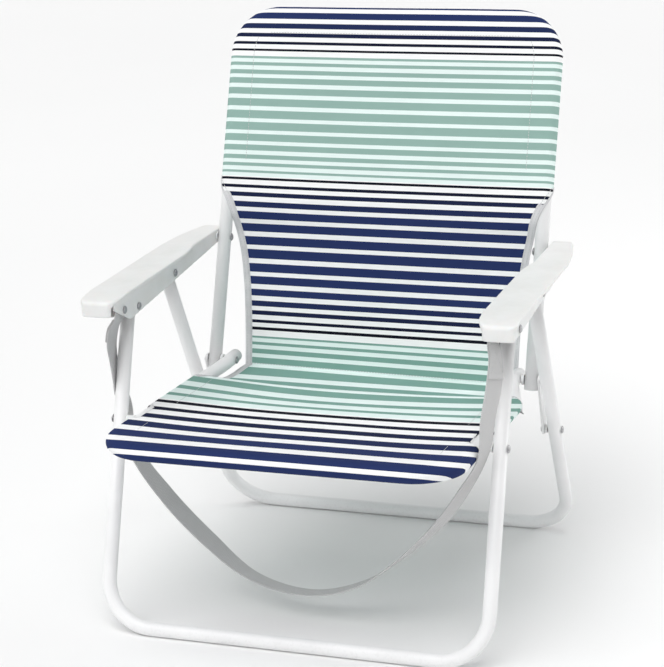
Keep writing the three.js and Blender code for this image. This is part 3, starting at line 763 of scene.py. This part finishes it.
def seat_row(depth):
    from_front = depth - SEAT_FRONT_DEPTH
    rail_top = rail_height(depth) + CLOTH_OFF_TUBE
    if depth <= SEAT_FREE_START:
        half = corner_half_width(RAIL_HALF_WIDTH, SEAT_BEND, from_front)
        in_notch = between(depth, NOTCH[0], NOTCH[0] + NOTCH_RAMP, NOTCH[1] - NOTCH_RAMP, NOTCH[1])
        half += (NOTCH_HALF_WIDTH - half) * in_notch
        edge = rail_top - NOTCH_DROP * in_notch
        middle = rail_top - SEAT_SAG * ease(from_front, 0, SEAT_SAG_RUN)
        middle += (SEAT_FREE_MIDDLE - rail_top + SEAT_SAG) * ease(depth, SEAT_SAG_END, SEAT_FREE_START)
    else:
        half, edge, middle = smooth_through(SEAT_FREE_EDGE, depth)
    tilt = CREASE_TILT * ease(depth, CREASE[0] - TILT_RUN, CREASE[0])
    points = []
    for share in np.linspace(-1, 1, COLUMNS + 1):
        x = share * half
        height = edge + (middle - edge) * (1 - share**2)
        height += SEAT_RIPPLE * ripple(x, depth) * (1 - share**6) * ease(from_front, 0, SEAT_BEND)
        points.append([x, depth, height + tilt * x])
    into_notch = between(depth, NOTCH[0] - NOTCH_RAMP, NOTCH[0], NOTCH[1], NOTCH[1] + NOTCH_RAMP)
    wrap = SLEEVE_WRAP * (1 - into_notch) * (1 - ease(depth, SEAT_SLEEVE_END, SEAT_FREE_START))
    return Row(np.array(points), wrap, outward(SEAT_BEND, from_front), SEAT_UP, FORWARD)


def back_rows():
    """From the top bar down to the crease."""
    corner = [BACK_TOP - BACK_BEND * (1 - math.cos(a)) for a in np.linspace(0, math.pi / 2, 15)]
    sleeved = list(np.linspace(BACK_TOP - BACK_BEND, BACK_SLEEVE_START, 40)[1:])
    cut = list(np.linspace(BACK_SLEEVE_START, BACK_FREE_TOP, 22)[1:])
    free = list(np.linspace(BACK_FREE_TOP, CREASE_UP + 3, 60)[1:]) + [CREASE_UP + 1]
    return [back_row(up) for up in corner + sleeved + cut + free]


def seat_rows():
    """From the crease forward to the front bar."""
    corner = [SEAT_FRONT_DEPTH + SEAT_BEND * (1 - math.cos(a)) for a in np.linspace(math.pi / 2, 0, 15)]
    free = [CREASE[0] - 1] + list(np.linspace(CREASE[0] - 3, SEAT_FREE_START, 30))
    cut = list(np.linspace(SEAT_FREE_START, SEAT_SLEEVE_END, 8)[1:])
    rear = list(np.linspace(SEAT_SLEEVE_END, NOTCH[1] + NOTCH_RAMP, 24)[1:])
    notch = list(np.linspace(NOTCH[1] + NOTCH_RAMP, NOTCH[0] - NOTCH_RAMP, 30)[1:])
    front = list(np.linspace(NOTCH[0] - NOTCH_RAMP, corner[0], 8)[1:])
    return [seat_row(depth) for depth in free + cut + rear + notch + front + corner[1:]]


TOP_PRINT = 10.2  # where the print is at the top bar's axis
PRINT_PER_FORWARD = 0.357  # how much further along the print a sleeve is, per millimetre forward
PRINT_PER_DROP = 1.09  # and per millimetre below the seat
# The print is stretched along the seat: [depth, distance along the print].
SEAT_PRINT = np.array([[SEAT_FRONT_DEPTH, 663.7], [150, 595], [CREASE[0], CREASE_PRINT]])


def number_print(back, seat):
    """Gives each row its place on the print."""
    down = travel([row.points[MIDDLE] for row in back])
    for row, distance in zip(back, down):
        row.printed = TOP_PRINT + distance * (CREASE_PRINT - TOP_PRINT) / down[-1]
    for row in seat:
        row.printed = float(np.interp(row.points[MIDDLE][1], SEAT_PRINT[:, 0], SEAT_PRINT[:, 1]))


class SlingMesh:
    """The sling's vertices and faces, with each vertex's place on the print and on the flat cloth."""

    def __init__(self):
        self.vertices = []
        self.faces = []
        self.printed = []
        self.flat = []

    def add(self, point, printed, across, along):
        self.vertices.append(point)
        self.printed.append(printed)
        self.flat.append((across, along))
        return len(self.vertices) - 1

    def panel(self, rows):
        """Rows joined into a panel. Returns the vertex numbers, row by row."""
        down = travel([row.points[MIDDLE] for row in rows])
        ids = []
        for row, along in zip(rows, down):
            ids.append([self.add(point, row.printed, point[0], along) for point in row.points])
        self.join(ids)
        return ids

    def join(self, ids):
        for upper, lower in zip(ids, ids[1:]):
            for k in range(len(upper) - 1):
                self.faces.append((upper[k], lower[k], lower[k + 1], upper[k + 1]))


def wrap_profile(length):
    """A sleeve's section from a tube's front to its seam: (toward the front, outward, length so far)."""
    section = []
    for w in np.linspace(0, length, SLEEVE_STEPS):
        angle = w / CLOTH_OFF_TUBE
        if angle <= math.pi:
            section.append((CLOTH_OFF_TUBE * math.cos(angle), CLOTH_OFF_TUBE * math.sin(angle), w))
            continue
        inboard = w - 2 * QUARTER_WRAP
        share = inboard / SLEEVE_RETURN
        rise = 2 * CLOTH_OFF_TUBE * ease(share, *SLEEVE_RISE)
        section.append((-CLOTH_OFF_TUBE + rise * SLEEVE_MEETS, -inboard, w))
    return section


def sleeve(mesh, samples, print_shift):
    """Wraps the cloth round a tube. A sample is (vertex number, tube's centre, outward, row)."""
    ids = []
    for first, centre, out, row in samples:
        line = [first]
        across, along = mesh.flat[first]
        for a, b, w in wrap_profile(row.wrap)[1:]:
            point = centre + row.front * a + out * b
            line.append(mesh.add(point, row.printed + print_shift(a, b, w, out), across + w, along))
        ids.append(line)
    mesh.join(ids)


def side_samples(rows, ids, side):
    """The sleeve samples down one side of a panel."""
    edge = -1 if side > 0 else 0
    return [(row_ids[edge], *row.tip(side), row) for row, row_ids in zip(rows, ids)]


def end_samples(row, row_ids):
    """The sleeve samples along a panel's top or front edge, from right to left."""
    centres = row.points[1:-1] - row.front * CLOTH_OFF_TUBE
    return [(first, centre, row.along, row) for first, centre in zip(row_ids[1:-1], centres)]


def wrapped_runs(samples):
    """Splits samples where there is no sleeve."""
    runs = [[]]
    for sample in samples:
        if sample[-1].wrap > LEAST_WRAP:
            runs[-1].append(sample)
        else:
            runs.append([])
    return [run for run in runs if len(run) > 1]


def build_sling():
    back = back_rows()
    seat = seat_rows()
    number_print(back, seat)
    mesh = SlingMesh()
    across = np.linspace(-WAIST, WAIST, COLUMNS + 1)
    crease_points = np.array([[x, CREASE[0], CREASE[1] + CREASE_TILT * x] for x in across])
    crease = Row(crease_points, 0.0, (1, 0), SEAT_UP, FORWARD)
    crease.printed = CREASE_PRINT
    all_rows = back + [crease] + seat
    ids = mesh.panel(all_rows)
    back_ids, seat_ids = ids[: len(back)], ids[len(back) + 1:]

    def back_print(_a, _b, w, out):
        return -float(out @ BACK_UP) * w

    right = side_samples(back[::-1], back_ids[::-1], -1)
    top = end_samples(back[0], back_ids[0])
    left = side_samples(back, back_ids, 1)
    for run in wrapped_runs(right + top + left):
        sleeve(mesh, run, back_print)

    def seat_print(a, b, w, out):
        """Seen from the front, stripes run straight off the seat's edges until they pass under the tube."""
        toward_front = float(out @ FORWARD)
        if w <= QUARTER_WRAP:
            return PRINT_PER_FORWARD * b * toward_front + PRINT_PER_DROP * (CLOTH_OFF_TUBE - a)
        at_side = (PRINT_PER_FORWARD * toward_front + PRINT_PER_DROP) * CLOTH_OFF_TUBE
        return at_side + (w - QUARTER_WRAP) * toward_front

    left = side_samples(seat, seat_ids, 1)
    front = end_samples(seat[-1], seat_ids[-1])[::-1]
    right = side_samples(seat[::-1], seat_ids[::-1], -1)
    for run in wrapped_runs(left + front + right):
        sleeve(mesh, run, seat_print)
    return mesh, back, seat


SLING, BACK_ROWS, SEAT_ROWS = build_sling()


def lay_flat_map(obj, flat):
    """Writes each vertex's place on the flat cloth, in metres, as the UV map that the weave reads."""
    layer = obj.data.uv_layers.new(name="cloth")
    flat = np.asarray(flat) * MM
    for loop in obj.data.loops:
        layer.data[loop.index].uv = flat[loop.vertex_index]


CLOTH_THICKNESS = 0.9


def make_sling():
    obj = new_object("striped_sling", SLING.vertices, SLING.faces)
    lay_flat_map(obj, SLING.flat)
    printed = obj.data.attributes.new("print", "FLOAT", "POINT")
    printed.data.foreach_set("value", np.array(SLING.printed, np.float32) * MM)
    thick = obj.modifiers.new("thickness", "SOLIDIFY")
    thick.thickness = CLOTH_THICKNESS * MM
    thick.offset = 0
    return finish_piece(obj, CLOTH, None, ["seat_fabric", "back_fabric"])


sling = make_sling()


def cross_the_hinge(obj):
    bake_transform(obj)


cross_the_hinge(sling)


# ---------------------------------------------------------------- edge tapes and stitches

TAPE_WIDTH = 9
TAPE_HALF_THICKNESS = 1.2
STITCH_LENGTH = 3.0
STITCH_PITCH = 4.2
THREAD_RADIUS = 0.42
THREAD_SIDES = 5
# [share of a stitch's length, share of the thread's radius there]
THREAD_GIRTH = ((0, 0.35), (0.2, 0.9), (0.5, 1.0), (0.8, 0.9), (1, 0.35))
TAPE_SEAMS = (2.2, TAPE_WIDTH - 1.6)
SLEEVE_SEAM = SLEEVE_WRAP + SLEEVE_RETURN - 4  # from a sleeve's cut edge, round the tube and inboard
SEAM_LIFT = 0.6


def row_point(row, inboard, side):
    """A point on a row of the sling, that far in from its edge."""
    points = row.points if side > 0 else row.points[::-1]
    half = float(np.linalg.norm(points[-1] - points[0])) / 2
    place = (1 - inboard / (2 * half)) * COLUMNS
    k = min(int(place), COLUMNS - 1)
    return points[k] + (points[k + 1] - points[k]) * (place - k)


def edge_point(row, inboard, side):
    """A point on a row, that far in from the cloth's cut edge, which may lie round the tube."""
    if inboard >= row.wrap:
        return row_point(row, inboard - row.wrap, side)
    angle = (row.wrap - inboard) / CLOTH_OFF_TUBE
    centre, out = row.tip(side)
    return centre + CLOTH_OFF_TUBE * (row.front * math.cos(angle) + out * math.sin(angle))


def surface_frame(path, inner_path):
    """Inboard and outward-facing directions at each point of a line on the sling."""
    path = np.asarray(path)
    along = unit(np.gradient(path, axis=0))
    inboard = np.asarray(inner_path) - path
    inboard = unit(inboard - along * np.sum(inboard * along, axis=1, keepdims=True))
    return inboard, np.cross(along, inboard)


def ribbon(name, points, first, second, section, inside_out=False):
    """A section carried along points, with its flat map. Returns the object and its length."""
    distances = travel(points)
    vertices, flat = [], []
    for point, one, two, distance in zip(points, first, second, distances):
        for a, b in section:
            vertices.append(point + one * a + two * b)
            flat.append((a, distance))
    obj = new_object(name, vertices, loft_faces(len(points), len(section), inside_out=inside_out))
    lay_flat_map(obj, flat)
    return obj, float(distances[-1])


def edge_tape(name, rows, side):
    """Binding tape folded over a free edge of the sling."""
    path = np.array([edge_point(row, 0, side) for row in rows])
    inner = np.array([edge_point(row, TAPE_WIDTH, side) for row in rows])
    inboard, facing = surface_frame(path, inner)
    thick = TAPE_HALF_THICKNESS
    half_turn = np.linspace(math.pi / 2, 3 * math.pi / 2, 7)
    section = [(thick * math.cos(a), thick * math.sin(a)) for a in half_turn]
    section += [(TAPE_WIDTH, -thick), (TAPE_WIDTH + 0.4, 0), (TAPE_WIDTH, thick)]
    obj, _ = ribbon(name, path, inboard, facing, section)
    return finish_piece(obj, TAPE)


def stitches_along(path, facing, lift):
    """Short threads in a row on both faces of the cloth: their end points."""
    path = np.asarray(path)
    distances = travel(path)

    def at(distance):
        return np.array([np.interp(distance, distances, path[:, axis]) for axis in range(3)])

    ends = []
    for start in np.arange(1, distances[-1] - STITCH_LENGTH, STITCH_PITCH):
        k = int(np.searchsorted(distances, start) - 1)
        for face in (1, -1):
            offset = facing[k] * face * lift
            ends.append((at(start) + offset, at(start + STITCH_LENGTH) + offset))
    return ends


def thread_mesh(name, ends, body=None):
    """Each stitch is a short thread, thickest in its middle and thinner at its ends."""
    vertices, faces = [], []
    for start, end in ends:
        along = unit(end - start)
        helper = np.array([1.0, 0, 0]) if abs(along[0]) < 0.8 else np.array([0, 1.0, 0])
        first = unit(np.cross(along, helper))
        second = np.cross(along, first)
        faces += loft_faces(len(THREAD_GIRTH), THREAD_SIDES, base=len(vertices))
        for share, girth in THREAD_GIRTH:
            centre = start + (end - start) * share
            for a, b in circle(THREAD_RADIUS * girth, THREAD_SIDES):
                vertices.append(centre + first * a + second * b)
    return finish_piece(new_object(name, vertices, faces), THREAD, body)


def seam(rows, inboard, side, lift=SEAM_LIFT):
    """A seam across rows, that far in from the cloth's cut edge."""
    path = [edge_point(row, inboard, side) for row in rows]
    _, facing = surface_frame(path, [edge_point(row, inboard + 5, side) for row in rows])
    return stitches_along(path, facing, lift)


def across_seam(row, other, skipped):
    """A seam along a row, such as the one inside the top sleeve, short of its ends by that many points."""
    run = slice(skipped, COLUMNS + 1 - skipped)
    _, facing = surface_frame(row.points[run], other.points[run])
    return stitches_along(row.points[run], facing, SEAM_LIFT)


def row_near(rows, target, value):
    return min(rows, key=lambda row: abs(value(row) - target))


def up_the_back(row):
    return float((row.points[MIDDLE] - HINGE_3D) @ BACK_UP)


def seat_depth(row):
    return row.points[0][1]


def build_trim():
    """The edge tapes and every seam of the sling."""
    unsleeved = 2 * QUARTER_WRAP  # the tapes start where the cut passes behind the tube
    edge_rows = [row for row in BACK_ROWS if row.wrap <= unsleeved]
    edge_rows += [row for row in SEAT_ROWS if seat_depth(row) >= SEAT_SLEEVE_END and row.wrap <= unsleeved]
    back_sleeve = (BACK_SLEEVE_START, BACK_TOP - SLEEVE_RETURN)
    rear_sleeve = (NOTCH[1] + 12, SEAT_SLEEVE_END)
    front_sleeve = (SEAT_FRONT_DEPTH + SEAT_BEND - 6, NOTCH[0] - 12)
    trim = []
    ends = []
    for side, word in ((1, "left"), (-1, "right")):
        trim.append(edge_tape(f"sling_edge_tape_{word}", edge_rows, side))
        for inboard in TAPE_SEAMS:
            ends += seam(edge_rows, inboard, side, TAPE_HALF_THICKNESS + 0.1)
        for rows, place, (low, high) in (
            (BACK_ROWS, up_the_back, back_sleeve),
            (SEAT_ROWS, seat_depth, rear_sleeve),
            (SEAT_ROWS, seat_depth, front_sleeve),
        ):
            ends += seam([row for row in rows if low <= place(row) <= high], SLEEVE_SEAM, side)
    top = row_near(BACK_ROWS, BACK_TOP - SLEEVE_RETURN + 4, up_the_back)
    below = row_near(BACK_ROWS, BACK_TOP - SLEEVE_RETURN - 6, up_the_back)
    ends += across_seam(top, below, 5)
    front = row_near(SEAT_ROWS, SEAT_FRONT_DEPTH + SLEEVE_RETURN - 4, seat_depth)
    behind = row_near(SEAT_ROWS, SEAT_FRONT_DEPTH + SLEEVE_RETURN + 10, seat_depth)
    ends += across_seam(front, behind, 5)
    ends += across_seam(BACK_ROWS[-2], BACK_ROWS[-4], 1)
    trim.append(thread_mesh("sling_stitches", ends))
    for obj in trim:
        cross_the_hinge(obj)
    return trim


TRIM = build_trim()


def flat_sling():
    """The sling's flat size and area in metres, with its sleeves opened out."""
    middle = [row.points[MIDDLE] for row in BACK_ROWS] + [np.array([0, *CREASE])]
    middle += [row.points[MIDDLE] for row in SEAT_ROWS]
    length = travel(middle)[-1] + 2 * SLEEVE_WRAP
    width = 2 * (BACK_HALF_WIDTH + SLEEVE_WRAP)
    shell = bpy.data.meshes.new("sling_shell")
    shell.from_pydata([tuple(v) for v in world(SLING.vertices)], [], SLING.faces)
    area = sum(polygon.area for polygon in shell.polygons)
    return (width * MM, float(length) * MM), area


SLING_FLAT, SLING_AREA = flat_sling()


# ---------------------------------------------------------------- carry strap

STRAP_WIDTH = 36
STRAP_THICKNESS = 2
STRAP_TOP_HALF_WIDTH = 251.3
STRAP_SAMPLES = 13  # across each face, so that it can carry the twist
# [x, depth, height, twist in degrees] from the right arm, under the seat and up to the left arm. The
# rows between the legs are rounded results of a least-squares fit; those near the arms are listed one by
# one.
STRAP_ROUTE = np.array([
    [-STRAP_TOP_HALF_WIDTH, 92, 427, 0],
    [-STRAP_TOP_HALF_WIDTH, 92, 418, 0],
    [-254.5, 92, 408, 0],
    [-262.5, 92.5, 396, 0],
    [-269, 96, 374, 4],
    [-271.3, 101, 353, 10],
    [-273, 110, 325, 10],
    [-273.6, 118, 300, 4],
    [-270, 126, 275, 0],
    [-259.5, 121, 215, 4],
    [-213, 115.5, 153, -4],
    [-153, 109.5, 97, -4],
    [-88, 101, 53.5, 8],
    [-9.5, 93.5, 41, 11],
    [66.5, 85, 63.5, 8],
    [130, 76.5, 111, 12],
    [182, 67.5, 164, 20],
    [221, 60, 220, 18],
    [247.5, 57, 271, 10],
    [252.5, 61.5, 317, 17],
    [257.5, 74, 356, 19],
    [256.5, 84.5, 390, 8],
    [STRAP_TOP_HALF_WIDTH, 92, 409, 0],
    [STRAP_TOP_HALF_WIDTH, 92, 418, 0],
    [STRAP_TOP_HALF_WIDTH, 92, 427, 0],
])
STRAP_STEPS_PER_SPAN = 14
BOX_STITCHES = 9  # along each line of a stitched box
STITCH_SHARE = (0.12, 0.88)  # the part of its place that each stitch fills


def smooth_route(route):
    """A smooth curve through the rows of a route, with its speed by the square root of their distance."""
    times = np.concatenate([[0], np.cumsum(np.sqrt(np.linalg.norm(np.diff(route[:, :3], axis=0), axis=1)))])
    slopes = np.gradient(route, times, axis=0)
    result = []
    for k in range(len(route) - 1):
        gap = times[k + 1] - times[k]
        for t in np.linspace(0, 1, STRAP_STEPS_PER_SPAN, endpoint=False):
            result.append(hermite(t, gap, route[k], route[k + 1], slopes[k], slopes[k + 1]))
    result.append(route[-1])
    return np.array(result)


def strap_frame(curve):
    """The strap's points, and the across and outward directions at each."""
    points, twist = curve[:, :3], np.radians(curve[:, 3:4])
    along = unit(np.gradient(points, axis=0))
    level = unit(np.array([0, 1.0, 0]) - along * along[:, 1:2])
    normal = np.cross(level, along)
    across = level * np.cos(twist) + normal * np.sin(twist)
    return points, across, np.cross(across, along)


def webbing_section(width, shift):
    """A flat section with rounded selvedges, finely divided across and shifted outward."""
    half, edge = width / 2, STRAP_THICKNESS / 2
    top = [(x, edge) for x in np.linspace(-half + edge, half - edge, STRAP_SAMPLES)]
    right = [(half - edge + edge * math.cos(a), edge * math.sin(a)) for a in (math.pi / 4, 0, -math.pi / 4)]
    bottom = [(-x, -edge) for x, _ in top]
    left = [(-x, -y) for x, y in right]
    return [(a, b + shift) for a, b in top + right + bottom + left]


def webbing(name, points, across, outward, width=STRAP_WIDTH, shift=0.0):
    section = webbing_section(width, shift)
    obj, length = ribbon(name, points, across, outward, section, inside_out=True)
    return finish_piece(obj, WEBBING, "arms"), length


def box_stitch(points, across, outward, shift):
    """A stitched box with a cross in it, through a doubled strap end."""
    inset = STRAP_WIDTH / 2 - 4
    first, last = 3, len(points) - 4
    corners = [
        (first, -inset), (last, -inset), (last, inset), (first, inset),
        (first, -inset), (last, inset), (last, -inset), (first, inset),
    ]
    ends = []
    for start, end in zip(corners, corners[1:]):
        marks = []
        for row, aside in np.linspace(start, end, BOX_STITCHES + 1):
            k = int(min(row, len(points) - 2))
            centre = points[k] * (k + 1 - row) + points[k + 1] * (row - k)
            marks.append(centre + across[k] * aside + outward[k] * shift)
        for a, b in zip(marks, marks[1:]):
            ends.append(tuple(a + (b - a) * share for share in STITCH_SHARE))
    return ends


def make_strap():
    points, across, outward = strap_frame(smooth_route(STRAP_ROUTE))
    strap, length = webbing("carry_webbing", points, across, outward)
    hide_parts("carry_strap")
    extras = []
    start, end = 2 * STRAP_STEPS_PER_SPAN, 4 * STRAP_STEPS_PER_SPAN - 3
    last = len(points) - 1
    for word, doubled in (("right", slice(start, end)), ("left", slice(last - end, last - start))):
        run = (points[doubled], across[doubled], outward[doubled])
        facing = -1 if np.mean(outward[doubled][:, 0]) * np.mean(points[doubled][:, 0]) < 0 else 1
        lift = facing * (STRAP_THICKNESS + 0.1)
        fold, _ = webbing(f"strap_fold_{word}", *run, width=STRAP_WIDTH - 1, shift=lift)
        ends = box_stitch(*run, facing * (1.5 * STRAP_THICKNESS + 0.2))
        extras += [fold, thread_mesh(f"strap_stitches_{word}", ends, "arms")]
    for obj in [strap] + extras:
        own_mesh(obj)


make_strap()


# ---------------------------------------------------------------- stage, lights and camera


FLOOR_HALF_SIZE = 30  # metres, as are the other sizes of the stage

# The world's brightness by the height of a direction: [height, brightness] near the horizon and above.
HORIZON = (0.12, 0.965)
OVERHEAD = (0.45, 0.42)

CAMERA_AZIMUTH = 19.39
CAMERA_ELEVATION = 17.02
CAMERA_ROLL = -2.30
CAMERA_LENS = 116.06
CAMERA_AT = world([909.9, -2375.9, 1206.0])


def stage_floor():
    size = FLOOR_HALF_SIZE
    corners = [(-size, -size, 0), (size, -size, 0), (size, size, 0), (-size, size, 0)]
    mesh = bpy.data.meshes.new("floor")
    mesh.from_pydata(corners, [], [(0, 1, 2, 3)])
    obj = link_to_scene(bpy.data.objects.new("floor", mesh))
    shader = Shader("studio_floor", (0.9, 0.9, 0.9), 0.9)
    shader.mottle(shader.noise(0.6, 2), (0.90, 0.90, 0.90), (0.88, 0.88, 0.88))
    obj.data.materials.append(shader.material)


def area_light(name, at, toward, size, power):
    light = bpy.data.lights.new(name, "AREA")
    light.size = size
    light.energy = power
    obj = link_to_scene(bpy.data.objects.new(name, light))
    obj.location = at
    obj.rotation_euler = (Vector(toward) - Vector(at)).to_track_quat("-Z", "Y").to_euler()


def sunlight(name, toward_light, spread_degrees, strength):
    light = bpy.data.lights.new(name, "SUN")
    light.angle = math.radians(spread_degrees)
    light.energy = strength
    obj = link_to_scene(bpy.data.objects.new(name, light))
    obj.rotation_euler = Vector(toward_light).to_track_quat("Z", "Y").to_euler()


def studio():
    stage_floor()
    world_settings = bpy.data.worlds.new("studio")
    world_settings.use_nodes = True
    tree = world_settings.node_tree
    direction = tree.nodes.new("ShaderNodeTexCoord")
    height = tree.nodes.new("ShaderNodeSeparateXYZ")
    shade = tree.nodes.new("ShaderNodeValToRGB")
    for element, (place, brightness) in zip(shade.color_ramp.elements, (HORIZON, OVERHEAD)):
        element.position = place
        element.color = (brightness, brightness, brightness, 1)
    tree.links.new(direction.outputs["Generated"], height.inputs[0])
    tree.links.new(height.outputs["Z"], shade.inputs[0])
    tree.links.new(shade.outputs[0], tree.nodes["Background"].inputs["Color"])
    tree.nodes["Background"].inputs["Strength"].default_value = 1.0
    bpy.context.scene.world = world_settings
    bpy.context.scene.view_settings.view_transform = "Standard"
    sunlight("sky_panel", toward_light=(-0.25, -0.9, 2.0), spread_degrees=60, strength=2.1)
    area_light("side_panel", at=(1.8, 1.2, 0.9), toward=(0, 0.1, 0.3), size=1.0, power=9)


def photo_camera():
    """The photograph's view: round from the front, looking down, with a small roll."""
    azimuth, elevation, roll = (math.radians(a) for a in (CAMERA_AZIMUTH, CAMERA_ELEVATION, CAMERA_ROLL))
    back = Vector((
        math.sin(azimuth) * math.cos(elevation),
        -math.cos(azimuth) * math.cos(elevation),
        math.sin(elevation),
    ))
    right = Vector((math.cos(azimuth), math.sin(azimuth), 0))
    up = back.cross(right)
    right_rolled = right * math.cos(roll) + up * math.sin(roll)
    up_rolled = up * math.cos(roll) - right * math.sin(roll)
    camera = bpy.data.cameras.new("camera")
    camera.lens = CAMERA_LENS
    camera.sensor_width = 36
    obj = link_to_scene(bpy.data.objects.new("camera", camera))
    basis = Matrix((right_rolled, up_rolled, back)).transposed().to_4x4()
    obj.matrix_world = Matrix.Translation(Vector(CAMERA_AT)) @ basis
    bpy.context.scene.camera = obj


studio()
photo_camera()


# ---------------------------------------------------------------- carried-over CAD nodes


SHARP_ANGLE = math.radians(40)


def node_material(name):
    if "rivet" in name:
        return STEEL
    return PAINT if name in ("link_left", "link_right") else PLASTIC


for name, obj in frame["nodes"].items():
    if obj.hide_render:
        continue
    obj.data.materials.clear()
    obj.data.materials.append(node_material(name))
    obj.data.shade_smooth()
    obj.data.set_sharp_from_angle(angle=SHARP_ANGLE)
